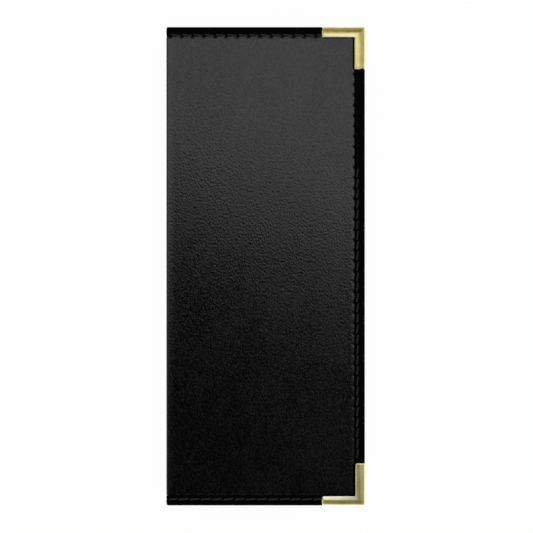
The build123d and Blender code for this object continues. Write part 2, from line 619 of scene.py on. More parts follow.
class Surface(Graph):
    """The nodes of a material, round its Principled shader."""

    def __init__(self, name: str) -> None:
        """Starts the material.

        Args:
            name: Its name.
        """
        self.material = bpy.data.materials.new(name)
        self.material.use_nodes = True
        super().__init__(self.material.node_tree)
        self.shader = self.tree.nodes["Principled BSDF"]

    def shade(self, **values: object) -> None:
        """Gives the shader's inputs their sources or constants."""
        self.put(self.shader, **values)

    def place(self, *stretch: float) -> NodeSocket:
        """Gives the coordinates of the piece, stretched along its axes."""
        source = self.node("TexCoord").outputs["Object"]
        return self.node("Mapping", Vector=source, Scale=stretch or (1, 1, 1)).outputs["Vector"]

    def marks(self, vector: NodeSocket, scale: float, detail: float) -> NodeSocket:
        """Gives the mask of the handling marks, by their scale and their detail."""
        return self.group(WEAR, vector, Scale=scale, Detail=detail)["Mask"]

    def group(self, group: Group, vector: NodeSocket, **values: float) -> bpy_prop_collection:
        """Places a node group on some coordinates, and gives its outputs."""
        return self.node("Group", node_tree=group.tree, Vector=vector, **values).outputs

    def bump(self, height: NodeSocket, strength: float, distance: float) -> None:
        """Gives the shader a bump of some strength, whose height is a distance in metres."""
        node = self.node("Bump", Strength=strength, Distance=distance, Height=height)
        self.shade(Normal=node.outputs["Normal"])


@dataclass(frozen=True)
class Finish:
    """What every finish has: its material's name and its slot of the record."""

    name: str
    slot: str

    @cached_property
    def surface(self) -> Surface:
        """The material's nodes, started when they are first asked for."""
        return Surface(self.name)

    @cached_property
    def material(self) -> Material:
        """The material, built when it is first asked for."""
        self.paint()
        return self.surface.material

    def paint(self) -> None:
        """Builds the material's nodes; each finish has its own."""
        raise NotImplementedError


@dataclass(frozen=True)
class SoftFinish(Finish):
    """A finish between two colours and two degrees of roughness."""

    colours: tuple[Triple, Triple] = ((0.0,) * 3, (1.0,) * 3)
    roughness: Pair = (0.0, 1.0)
    specular: float = 0.5

    def coat(self, tint: NodeSocket, dullness: NodeSocket) -> None:
        """Mixes the colours and spreads the roughness.

        Args:
            tint: How much of the second colour shows.
            dullness: What spreads the roughness.
        """
        self.surface.shade(
            Base_Color=self.surface.mix(tint, *self.colours),
            Roughness=self.surface.spread(dullness, *self.roughness),
            Specular_IOR_Level=self.specular,
        )


@dataclass(frozen=True)
class LeatheretteFinish(SoftFinish):
    """Black leatherette with a fine calf grain."""

    colours: tuple[Triple, Triple] = ((0.0006,) * 3, (0.0002,) * 3)
    roughness: Pair = (0.09, 0.33)
    stretch: Triple = (1.2, 0.85, 1.0)
    grain_gloss: float = 0.75

    def paint(self) -> None:
        """Builds the grain, its colour, with the creases between the pebbles painted darker as painted shade,
        and its uneven gloss.
        """
        surface = self.surface
        vector = surface.place(*self.stretch)
        grain = surface.group(GRAIN, vector, Scale=850.0, Pores=0.03)
        wear_and_painted_reflection = surface.times(surface.marks(vector, scale=28.0, detail=6.0), 1.0 - self.grain_gloss)
        dullness = surface.plus(wear_and_painted_reflection, surface.times(grain["Gloss"], self.grain_gloss))
        # The creases between the pebbles take the darker colour, a painted shade.
        self.coat(grain["Crease"], dullness)
        surface.bump(grain["Height"], strength=0.6, distance=0.13 * MM)


@dataclass(frozen=True)
class TapeFinish(SoftFinish):
    """Smooth black edge tape."""

    colours: tuple[Triple, Triple] = ((0.0004,) * 3, (0.0008,) * 3)
    roughness: Pair = (0.55, 0.7)
    specular: float = 0.02

    def paint(self) -> None:
        """Builds a nearly plain, deep black with a very fine grain."""
        surface = self.surface
        vector = surface.place()
        wear_and_painted_reflection = surface.marks(vector, scale=120.0, detail=4.0)
        self.coat(wear_and_painted_reflection, wear_and_painted_reflection)
        fine = surface.node("TexNoise", Scale=5200.0, Detail=2.0, Vector=vector)
        surface.bump(fine.outputs["Fac"], strength=0.25, distance=0.02 * MM)


@dataclass(frozen=True)
class ThreadFinish(SoftFinish):
    """Black twisted sewing thread."""

    colours: tuple[Triple, Triple] = ((0.005, 0.005, 0.0052), (0.01, 0.01, 0.0105))
    roughness: Pair = (0.42, 0.62)
    specular: float = 0.22
    twists: float = 5.0
    plies: float = 3.0

    def paint(self) -> None:
        """Builds the twist from the thread's own UV map, with the grooves between the plies painted darker as
        painted shade.
        """
        surface = self.surface
        parts = surface.node("SeparateXYZ", Vector=surface.node("TexCoord").outputs["UV"]).outputs
        turns = surface.plus(surface.times(parts[1], self.twists), surface.times(parts[0], self.plies))
        ply = surface.math("ABSOLUTE", surface.math("SINE", surface.times(turns, math.pi)))
        # The grooves between the plies take the darker colour, a painted shade.
        self.coat(ply, surface.marks(surface.place(), scale=300.0, detail=2.0))
        surface.shade(Sheen_Weight=0.08, Sheen_Roughness=0.4)
        surface.bump(ply, strength=0.8, distance=0.08 * MM)


@dataclass(frozen=True)
class BoardFinish(Finish):
    """Grey board with short fibres."""

    colours: tuple[Triple, Triple] = ((0.15, 0.14, 0.12), (0.3, 0.28, 0.25))
    stretch: Triple = (1.0, 0.4, 1.0)

    def paint(self) -> None:
        """Builds the speckled board."""
        surface = self.surface
        fibres = surface.marks(surface.place(*self.stretch), scale=900.0, detail=5.0)
        surface.shade(Base_Color=surface.mix(fibres, *self.colours), Roughness=0.9)
        surface.bump(fibres, strength=0.3, distance=0.05 * MM)


@dataclass(frozen=True)
class LiningFinish(SoftFinish):
    """Thin black woven lining."""

    colours: tuple[Triple, Triple] = ((0.004,) * 3, (0.012,) * 3)
    roughness: Pair = (0.55, 0.75)

    def paint(self) -> None:
        """Builds the weave of the lining."""
        surface = self.surface
        vector = surface.place()
        weave = surface.group(WEAVE, vector, Threads=1300.0)["Height"]
        wear_and_painted_reflection = surface.marks(vector, scale=60.0, detail=5.0)
        # The lining is darker where the weave dips, a painted shade, and darker at random with the handling
        # marks.
        self.coat(surface.times(weave, wear_and_painted_reflection), wear_and_painted_reflection)
        surface.bump(weave, strength=0.6, distance=0.05 * MM)


@dataclass(frozen=True)
class FilmFinish(Finish):
    """Clear, slightly wavy pocket film."""

    roughness: Pair = (0.03, 0.12)

    def paint(self) -> None:
        """Builds the clear film with faint handling marks."""
        surface = self.surface
        vector = surface.place()
        surface.shade(
            Base_Color=(0.96, 0.97, 0.97, 1.0),
            Roughness=surface.spread(surface.marks(vector, scale=45.0, detail=6.0), *self.roughness),
            Transmission_Weight=1.0,
            IOR=1.4,
        )
        waves = surface.marks(vector, scale=16.0, detail=0.0)
        surface.bump(waves, strength=0.3, distance=0.3 * MM)


@dataclass(frozen=True)
class BrassFinish(Finish):
    """Polished brass with fine scratches, whose colour carries a painted reflection: painted highlights along
    its edges and a painted dark band across its face.
    """

    painted_dark_reflection: Triple = (0.24, 0.175, 0.052)
    plain: Triple = (0.79, 0.69, 0.26)
    painted_highlight: Triple = (0.97, 0.93, 0.66)
    roughness: Pair = (0.31, 0.4)
    unevenness: float = 0.12
    brushing: Triple = (0.15, 3.0, 1.0)

    def paint(self) -> None:
        """Builds the polish, its scratches, a little random unevenness from the handling marks, and the
        painted reflection stored on each point: painted highlights at the edges and a painted dark band
        across the face.
        """
        surface = self.surface
        wear_and_painted_reflection = surface.marks(surface.place(), scale=160.0, detail=5.0)
        scratches = surface.node("TexNoise", Scale=900.0, Detail=4.0, Vector=surface.place(*self.brushing))
        # The stored painted reflection lifts the colour to a painted highlight at the edges and drops it to a
        # painted dark band on the face.
        painted_reflection = surface.node("Attribute", attribute_name=PAINTED_REFLECTION).outputs["Fac"]
        share = surface.plus(painted_reflection, surface.spread(wear_and_painted_reflection, -self.unevenness, self.unevenness))
        # The ramp runs from the painted dark reflection through plain brass to the painted highlight.
        ramp = surface.node("ValToRGB", Fac=share)
        colours = ramp.color_ramp.elements
        colours[0].color, colours[1].color = (*self.painted_dark_reflection, 1.0), (*self.painted_highlight, 1.0)
        colours.new(0.5).color = (*self.plain, 1.0)
        marks = surface.times(surface.plus(wear_and_painted_reflection, scratches.outputs["Fac"]), 0.5)
        surface.shade(
            Base_Color=ramp.outputs["Color"],
            Metallic=1.0,
            Roughness=surface.spread(marks, *self.roughness),
        )
        surface.bump(scratches.outputs["Fac"], strength=0.12, distance=0.02 * MM)


LEATHERETTE = LeatheretteFinish("black_leatherette", "leatherette")
EDGE_TAPE = TapeFinish("black_edge_tape", "edge_tape")
THREAD = ThreadFinish("black_thread", "thread")
BOARD = BoardFinish("grey_board", "board")
LINING = LiningFinish("black_lining", "lining")
FILM = FilmFinish("clear_film", "pocket_film")
BRASS = BrassFinish("polished_brass", "brass")


def coat(piece: Object, finish: Finish) -> None:
    """Gives a piece the material of a finish in place of what it had."""
    piece.data.materials.clear()
    piece.data.materials.append(finish.material)


def dress(piece: Object, finish: Finish, degrees: float) -> None:
    """Shades a piece smooth and gives it its material.

    Args:
        piece: The finished piece.
        finish: Its finish.
        degrees: The angle that an edge has to pass to stay sharp.
    """
    smooth(piece, degrees)
    coat(piece, finish)


def bend_with_fold(piece: Object, leaf: Leaf) -> None:
    """Works out where the fold between a leaf and the spine runs, which nothing uses, and moves the piece's
    place into its mesh.

    Args:
        piece: The finished piece.
        leaf: The leaf that it belongs to.
    """
    start = Vector((LAY.x_fold, 0, LAY.z_skin))
    end = Vector((LAY.x_spine_skin, 0, LAY.z_fold))
    if leaf is Leaf.FRONT:
        start.z = 2 * LAY.z_middle - start.z
        end.z = 2 * LAY.z_middle - end.z
    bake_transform(piece)


def on_both_leaves(
    back: Object, finish: Finish, degrees: float, *nodes: str, folds: bool = False
) -> list[Object]:
    """Turns a piece of the back leaf over for the front leaf, and dresses both.

    Args:
        back: The back leaf's piece, whose name starts with back.
        finish: The finish of both.
        degrees: The angle that an edge has to pass to stay sharp.
        nodes: What each stands for, without the name of its leaf.
        folds: Whether they run round into the spine. Then neither is attached to a leaf's body, and the
            spine's nodes are hidden too.

    Returns:
        Both pieces.
    """
    front = mirrored(back, back.name.replace("back", "front"), 2, LAY.z_middle)
    for piece, leaf in ((back, Leaf.BACK), (front, Leaf.FRONT)):
        dress(piece, finish, degrees)
        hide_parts(*(f"{leaf.value}_{node}" for node in nodes))
        if folds:
            bend_with_fold(piece, leaf)
        else:
            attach(piece, leaf.value + "_cover")
    if folds:
        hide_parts(*("spine_" + node for node in nodes))
    return [back, front]


@dataclass(frozen=True)
class Seam:
    """One row of holes and the stitches between them, in the strip's own lengthwise coordinate.

    The lip is how far the tape reaches over the panel, and the lead is a first, shorter stitch.
    """

    first: float
    pitch: float
    stitches: int
    inset: float
    slant: float
    lip: float
    lead: float = 0.0
    hole_width: float = 0.85 * MM

    @property
    def last(self) -> float:
        """Where the last hole is."""
        return self.first + self.pitch * self.stitches

    def near_hole(self, along: float) -> float:
        """Says how near a point is to a hole.

        Args:
            along: Where the point is.

        Returns:
            A share from 0 to 1.
        """
        if not self.first - self.pitch / 2 < along < self.last + self.pitch / 2:
            return 0.0
        count = round((along - self.first) / self.pitch)
        return hump(along - self.first - count * self.pitch, self.hole_width)


SEAMS = {
    Edge.TOP: Seam(-58.3 * MM, 6.84 * MM, 14, 4.6 * MM, -7.0, 5.5 * MM),
    Edge.FORE: Seam(-117.475 * MM, 6.35 * MM, 37, 4.1 * MM, -8.0, 6.1 * MM),
    Edge.BOTTOM: Seam(-53.75 * MM, 6.87 * MM, 13, 3.5 * MM, 5.0, 5.6 * MM, lead=5.6 * MM),
}


@dataclass(frozen=True)
class Ridge:
    """A soft ridge or groove beside a seam or a lip: how far inwards its middle lies, and its size."""

    middle: float
    width: float
    height: float

    def at(self, beside: float) -> float:
        """Its height at a distance inwards from the seam or the lip."""
        return hump(beside - self.middle, self.width) * self.height


@dataclass
class CoverSkin:
    """The leatherette of a leaf, in one piece with its half of the spine."""

    roll_width: float = 1.8 * MM
    roll_depth: float = 0.16 * MM
    roll_lines: tuple[float, ...] = (1.0, 0.66, 0.4, 0.2, 0.0)
    pucker_depth: float = 0.2 * MM
    pucker_width: float = 1.1 * MM
    lip_swell: Ridge = Ridge(0.6 * MM, 1.1 * MM, 0.06 * MM)
    wave_height: float = 0.05 * MM
    wave_length: float = 26.0 * MM
    wave_fade: Pair = (12 * MM, 8 * MM)
    spine_puff: float = 0.62 * MM
    spine_puff_run: Pair = (0.8 * MM, 1.6 * MM)
    spine_flat: float = 0.7
    cells: int = 28
    roll_cuts: tuple[int, int] = (5, 13)
    cut_from: float = 1.5 * MM
    fold_steps: int = 8

    def from_lips(self, place: Vector) -> tuple[float, float, Seam]:
        """Measures how far a point lies inside the tape's lips.

        Args:
            place: A point of the skin.

        Returns:
            The distances from the fore-edge strip and from the nearer end strip, and that strip's seam.
        """
        end = SEAMS[Edge.TOP if place.y > 0 else Edge.BOTTOM]
        fore = LAY.x_tape - place.x - SEAMS[Edge.FORE].lip
        return fore, LAY.y_tape - abs(place.y) - end.lip, end

    def settle(self, place: Vector, normal: Vector) -> None:
        """Rolls the panel down to the tape, draws it in at the holes and gives it a faint waviness.

        Args:
            place: A point of the sheet.
            normal: Its normal.
        """
        fore, level, end = self.from_lips(place)
        inset = min(fore, level)
        spine = round_spine(place.x, LAY.x_spine_skin)
        roll = ease(1.0 - inset / self.roll_width) * self.roll_depth
        holes = end.near_hole(place.x) * hump(level, self.pucker_width)
        holes += SEAMS[Edge.FORE].near_hole(place.y) * hump(fore, self.pucker_width)
        roll += holes * self.pucker_depth - self.lip_swell.at(inset)
        inside = ease(inset / self.wave_fade[0]) * ease((place.x - LAY.x_fold) / self.wave_fade[1])
        wave = noise.noise(place / self.wave_length) * self.wave_height * inside
        start, run = self.spine_puff_run
        puff = self.spine_puff * spine * ease((inset + start) / run)
        place -= normal * (roll * (1.0 - self.spine_flat * spine) + wave - puff)

    def build(self) -> list[Object]:
        """Models both skins.

        Returns:
            The back and the front skin.
        """
        corner = Vector((LAY.x_core, LAY.y_core))
        skin = add_sheet("back_leatherette", (LAY.x_fold, -corner.y), corner, LAY.z_skin)
        with editing(skin, "SELECT"):
            bpy.ops.mesh.subdivide(number_cuts=self.cells)
            for share in self.roll_lines:
                line = self.roll_width * share
                cut_x(LAY.x_tape - SEAMS[Edge.FORE].lip - line)
                cut_y(LAY.y_tape - SEAMS[Edge.TOP].lip - line)
                cut_y(SEAMS[Edge.BOTTOM].lip + line - LAY.y_tape)
            for axis, cuts in enumerate(self.roll_cuts):
                pick_edges(
                    skin,
                    lambda middle, span, axis=axis: abs(span[axis]) > self.cut_from
                    and near(span[1 - axis], 0)
                    and self.from_lips(middle)[1 - axis] < self.roll_width + NEAR,
                )
                bpy.ops.mesh.subdivide(number_cuts=cuts)
            wrap_spine(skin, self.fold_steps)
        face_towards(skin, DOWN)
        reshape(skin, self.settle)
        thicken(skin, LAY.z_board - LAY.z_skin)
        return on_both_leaves(skin, LEATHERETTE, 40, "skin", folds=True)


@dataclass(frozen=True)
class Run:
    """Where a strip lies before it is turned to its edge.

    It goes from low to high along X and is folded over an edge in Y. The brass starts at two places,
    and the low end goes on round the spine or is mitred like the high one.
    """

    low: float
    high: float
    edge: float
    seam: Seam
    brass: Pair
    at_spine: bool

    def mitre(self, place: Vector, normal: Vector) -> None:
        """Moves the points of a mitred end to the diagonal of the corner.

        Args:
            place: A point of the strip.
            normal: Its normal.
        """
        back = max(self.edge - place.y, 0.0)
        if near(place.x, self.high):
            place.x -= back
        elif near(place.x, self.low) and not self.at_spine:
            place.x += back


@dataclass
class EdgeTape:
    """The tape folded over the three edges of a leaf, drawn in by its seam."""

    inner_band_width: float = 5.7 * MM
    thickness: float = 0.4 * MM
    outer_round: float = 0.7 * MM
    inner_round: float = 0.6 * MM
    groove: Ridge = Ridge(0.0, 0.85 * MM, 0.24 * MM)
    pinch: Ridge = Ridge(0.45 * MM, 0.95 * MM, 0.36 * MM)
    swell: Ridge = Ridge(1.15 * MM, 0.55 * MM, 0.07 * MM)
    shoulder: Ridge = Ridge(-1.9 * MM, 0.9 * MM, 0.049 * MM)
    lip_run: float = 0.7 * MM
    lip_sink: float = 0.1 * MM
    lip_wave: float = 0.5 * MM
    lip_rest: float = 0.3
    lip_spread: float = 0.85 * MM
    press: float = 0.32 * MM
    press_start: float = 0.3 * MM
    press_run: float = 0.5 * MM
    face_run: float = 1.2 * MM
    edge_puff: float = 0.4 * MM
    spine_puff: float = 0.2 * MM
    spine_flat: float = 0.6
    step: float = 0.3 * MM
    seam_lines: tuple[float, ...] = (-2.2, -1.6, -1.1, -0.7, -0.35, 0.0, 0.35, 0.7, 1.1)
    lip_lines: Pair = (0.3, 0.12)
    face_line: float = 1.4 * MM
    brass_lines: tuple[float, ...] = (-0.3, -0.05, 0.2)
    samples: int = 10
    cut_from: float = 0.3 * MM

    def lines(self, seam: Seam) -> list[float]:
        """Insets of the lengthwise lines that carry the groove.

        Args:
            seam: The strip's seam.

        Returns:
            Distances from the folded edge.
        """
        beside = [seam.inset + offset * MM for offset in self.seam_lines]
        return sorted(beside + [self.face_line] + [seam.lip - offset * MM for offset in self.lip_lines])

    def strip(self, name: str, run: Run) -> Object:
        """Models a strip along X, folded over its edge, mitred, drawn in by its seam and thickened.

        Args:
            name: The piece's name.
            run: Where the strip lies.

        Returns:
            The strip, before it is turned to its edge.
        """
        edge, seam = run.edge, run.seam
        strip = add_sheet(name, (run.low, edge - seam.lip), (run.high, edge), LAY.z_tape)
        with editing(strip):
            pick_points(strip, lambda place: near(place.y, edge))
            extrude(z=LAY.z_tape_top - LAY.z_tape)
            extrude(y=-self.inner_band_width)
            for z, radius in ((LAY.z_tape, self.outer_round), (LAY.z_tape_top, self.inner_round)):
                pick_edges(strip, lambda middle, span, z=z: near(middle.y, edge) and near(middle.z, z))
                bpy.ops.mesh.bevel(offset=radius, segments=3, affect="EDGES")
            for inset in self.lines(seam):
                cut_y(edge - inset)
            cut_x(seam.first)
            cut_x(seam.last)
            for end, sign in zip(run.brass, (-1.0, 1.0)):
                for offset in self.brass_lines:
                    cut_x(end + sign * offset * MM)
            if run.at_spine:
                self.step_down(strip)
        reshape(strip, run.mitre)
        for cuts in (seam.stitches - 1, self.samples - 1):
            with editing(strip):
                pick_edges(
                    strip,
                    lambda middle, span: abs(span.x) > self.cut_from
                    and near(span.y, 0)
                    and near(span.z, 0)
                    and seam.first < middle.x < seam.last,
                )
                bpy.ops.mesh.subdivide(number_cuts=cuts)
        if run.at_spine:
            with editing(strip):
                wrap_spine(strip)
        face_towards(strip, DOWN)
        reshape(strip, lambda place, normal: self.draw_in(place, normal, run))
        thicken(strip, self.thickness, even=False)
        return strip

    def step_down(self, strip: Object) -> None:
        """Lowers the inner band of a strip where the board ends beside the spine, in edit mode.

        Args:
            strip: The open sheet.
        """
        gutter = LAY.x_spine_inside - LAY.x_spine_tape
        drop = LAY.z_tape_top - LAY.z_tape - gutter
        beside = LAY.x_board - self.step / 2
        cut_x(LAY.x_board)
        cut_x(LAY.x_board - self.step)
        pick_points(strip, lambda place: place.x < beside and place.z > LAY.z_tape + gutter)
        bpy.ops.transform.translate(value=(0, 0, -drop))

    def draw_in(self, place: Vector, normal: Vector, run: Run) -> None:
        """Sinks the seam, pinches the tape at each hole and presses it in under the brass.

        Args:
            place: A point of the strip.
            normal: Its normal.
            run: Where the strip lies.
        """
        seam = run.seam
        inset = run.edge - place.y
        beside = inset - seam.inset
        hole = seam.near_hole(place.x)
        spine = round_spine(place.x, LAY.x_spine_tape)
        past = max(run.brass[0] - place.x, place.x - run.brass[1])
        brass = ease((past + self.press_start) / self.press_run)
        free = 1.0 - brass
        on_face = ease(inset / self.face_run)
        groove = self.groove.at(beside) * (1.0 - self.spine_flat * spine)
        swell = (1.0 - hole) * self.swell.at(beside) + self.shoulder.at(beside)
        depth = (groove + hole * self.pinch.at(beside) - swell) * free * on_face
        lip = ease(1.0 - (min(seam.lip, self.inner_band_width) - inset) / self.lip_run)
        depth += lip * self.lip_sink * free + brass * self.press - self.spine_puff * spine * on_face
        place -= normal * depth
        place.y -= lip * (free * (hole - self.lip_rest) * self.lip_wave + brass * self.lip_spread)
        place.y += (1.0 - on_face) * free * self.edge_puff

    def build(self) -> list[Object]:
        """Models the strips of both leaves.

        Returns:
            The six strips.
        """
        strips = []
        for edge in Edge:
            name, seam, at_end = "back_tape_" + edge.value, SEAMS[edge], edge is not Edge.FORE
            if at_end:
                run = Run(LAY.x_fold, LAY.x_tape, LAY.y_tape, seam, (NO_BRASS, LAY.x_leg_end), True)
            else:
                run = Run(-LAY.y_tape, LAY.y_tape, LAY.x_tape, seam, (-LAY.y_leg_end, LAY.y_leg_end), False)
            back = self.strip(name, run)
            if edge is Edge.BOTTOM:
                back = to_bottom(back, name)
            elif edge is Edge.FORE:
                back.rotation_euler.z = -math.pi / 2
                apply_place(back)
            strips += on_both_leaves(back, EDGE_TAPE, 50, "binding_" + edge.value, folds=at_end)
        return strips


@dataclass
class Stitching:
    """The sewn thread: one stitch, copied along every seam."""

    width: float = 0.85 * MM
    height: float = 0.5 * MM
    gap: float = 0.5 * MM
    dive: float = 0.55 * MM
    dive_start: float = 0.78
    dive_run: float = 0.22
    sag: float = 0.05 * MM
    taper: float = 0.3
    lift: float = 0.1 * MM
    spine_sinks: Pair = (0.05 * MM, 0.2 * MM)
    sides: int = 6
    rings: tuple[float, ...] = (0.25, 0.4, 0.465)

    def bend(self, place: Vector, length: float) -> None:
        """Thins a stitch towards its ends and lets them dive into their holes.

        Args:
            place: A point of a cylinder whose length and width are 1.
            length: The stitch's length.
        """
        end = abs(2 * place.x)
        fat = 1.0 - self.taper * end**5
        sink = self.dive * ease((end - self.dive_start) / self.dive_run) + self.sag * end**2
        height = (place.z + 0.5) * self.height * fat - self.lift + sink
        place.xyz = (place.x * length, place.y * self.width * fat, height)

    def one(self, length: float) -> Object:
        """Models one stitch along X: a twisted thread that dives into a hole at each end.

        Args:
            length: Its length.

        Returns:
            The stitch, with its top at height zero and looking down.
        """
        clear_selection()
        upright = (0, math.pi / 2, 0)
        bpy.ops.mesh.primitive_cylinder_add(vertices=self.sides, radius=0.5, depth=1.0, rotation=upright)
        thread = bpy.context.active_object
        thread.name = "stitch"
        apply_place(thread)
        with editing(thread):
            for ring in self.rings:
                cut_x(ring)
                cut_x(-ring)
        reshape(thread, lambda place, normal: self.bend(place, length))
        return thread

    def row(self, edge: Edge, inner: bool) -> list[Object]:
        """Copies the stitch along one seam of the back leaf.

        Args:
            edge: Which seam.
            inner: Whether it lies on the leaf's inner face.

        Returns:
            The stitches.
        """
        seam = SEAMS[edge]
        at_fore = edge is Edge.FORE
        z = LAY.z_tape_top if inner else LAY.z_tape
        first = self.one((seam.pitch - self.gap) / math.cos(math.radians(seam.slant)))
        if inner:
            first.rotation_euler.x = math.pi
            apply_place(first)
        start = 1 if inner and not at_fore else 0
        middles = [seam.first + (index + 0.5) * seam.pitch for index in range(start, seam.stitches)]
        places = [(middle, seam.pitch) for middle in middles]
        if seam.lead and not inner:
            places.append((seam.first - seam.lead / 2, seam.lead))
        stitches = []
        for along, length in places:
            twin = copied(first, "stitch")
            twin.scale.x = length / seam.pitch
            at_end = (along, edge.sign * (LAY.y_tape - seam.inset), z)
            twin.location = (LAY.x_tape - seam.inset, along, z) if at_fore else at_end
            twin.rotation_euler.z = math.radians(90.0 * at_fore + seam.slant)
            stitches.append(twin)
        bpy.data.objects.remove(first)
        return stitches

    def spine(self) -> Object:
        """Models the stitch on each face of the spine, at its top and its bottom.

        Returns:
            The four stitches, as one piece.
        """
        length = 2 * (LAY.z_middle - LAY.z_fold) - self.gap
        outer, inner = self.spine_sinks
        stitches = []
        for edge in (Edge.TOP, Edge.BOTTOM):
            for x, turn in ((LAY.x_spine_tape - outer, 90), (LAY.x_spine_inside - inner, -90)):
                stitch = self.one(length)
                stitch.rotation_euler.y = math.radians(turn)
                stitch.location = (x, edge.sign * (LAY.y_tape - SEAMS[edge].inset), LAY.z_middle)
                stitches.append(stitch)
        return joined("spine_thread", stitches)

    def build(self) -> list[Object]:
        """Models the thread of both leaves and the spine.

        Returns:
            The five pieces of stitching.
        """
        pieces = []
        for side, inner in (("outer", False), ("inner", True)):
            rows = [stitch for edge in Edge for stitch in self.row(edge, inner)]
            pieces += on_both_leaves(joined("back_thread_" + side, rows), THREAD, 60, "stitching_" + side)
        spine = self.spine()
        dress(spine, THREAD, 60)
        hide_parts("spine_stitching")
        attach(spine, "spine")
        return [*pieces, spine]


@dataclass(frozen=True)
class Press:
    """How one corner is pressed, and how much its painted reflection is brightened all over.

    The crest is a share of the leg's width, and the face falls from it to both sides.
    """

    leg_width: float
    crest: float
    outer_fall: float
    inner_fall: float
    power: float
    painted_brightening: float


@dataclass(frozen=True)
class PaintedReflection:
    """How bright the painted reflection makes the parts of a corner, from 0 to 1: painted highlights at the
    inner edge, the leg ends and the outer rim, and a painted dark band across the face; and how much less of
    it its upright leg gets.
    """

    face: float = 0.5
    inner: float = 0.45
    inner_band: Pair = (0.45, 0.5)
    painted_dark_reflection: float = 0.5
    dark_reflection_line: float = 0.42
    dark_reflection_width: float = 0.2
    end: float = 0.6
    rim: float = 0.8
    rim_width: float = 0.35 * MM
    upright_inner: float = 0.9
    upright_dark_reflection: float = 0.7
    upright_brightening: float = 0.5


